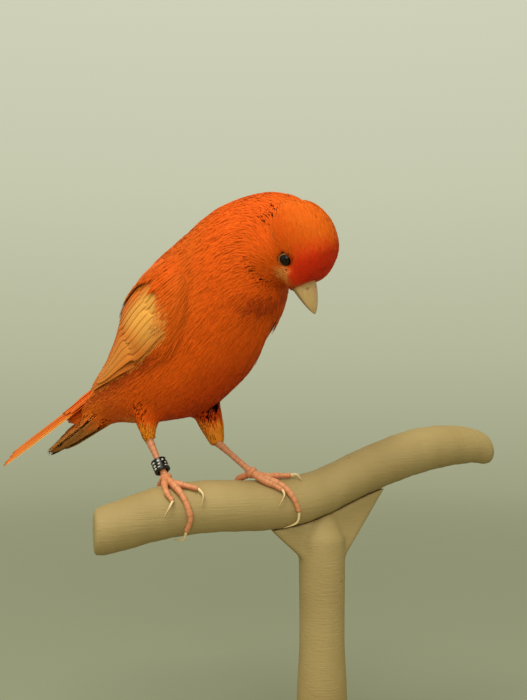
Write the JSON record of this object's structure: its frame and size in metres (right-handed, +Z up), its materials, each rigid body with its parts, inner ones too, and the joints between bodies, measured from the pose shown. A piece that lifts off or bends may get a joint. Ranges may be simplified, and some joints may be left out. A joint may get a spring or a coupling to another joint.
{
  "type": "canary",
  "caption": "Red-factor canary perched on a T-shaped perch, a still life-size model on a plain stand",
  "frame": {"origin": "centre of the stand base's underside, below the post", "axes": "+X along the perch bar to its raised end, +Y away from the side that the bird shows, +Z up"},
  "size_m": [0.1434, 0.1063, 0.173],
  "materials": {
    "plumage": "soft feathers, orange shading to deep red on the face",
    "wing": "flight feathers with pale edges",
    "bill": "satin horn",
    "eye": "wet gloss",
    "leg": "scaled skin",
    "claw": "satin horn",
    "ring": "black anodised",
    "perch": "fine layered surface, matt"
  },
  "bodies": {
    "root": {"torso": "plumage", "neck": "plumage", "head": "plumage", "eye_right": "eye", "eye_left": "eye", "bill_upper": "bill", "bill_lower": "bill", "wing_right": "wing", "wing_left": "wing", "tail": "wing", "undertail_coverts": "plumage", "thigh_right": "plumage", "thigh_left": "plumage", "shank_right": "leg", "shank_left": "leg", "foot_right": "leg", "foot_left": "leg", "claw_right_1": "claw", "claw_right_2": "claw", "claw_right_3": "claw", "claw_right_4": "claw", "claw_left_1": "claw", "claw_left_2": "claw", "claw_left_3": "claw", "claw_left_4": "claw", "leg_ring": "ring", "perch_bar": "perch", "stand_post": "perch", "stand_base": "perch"}
  },
  "joints": []
}
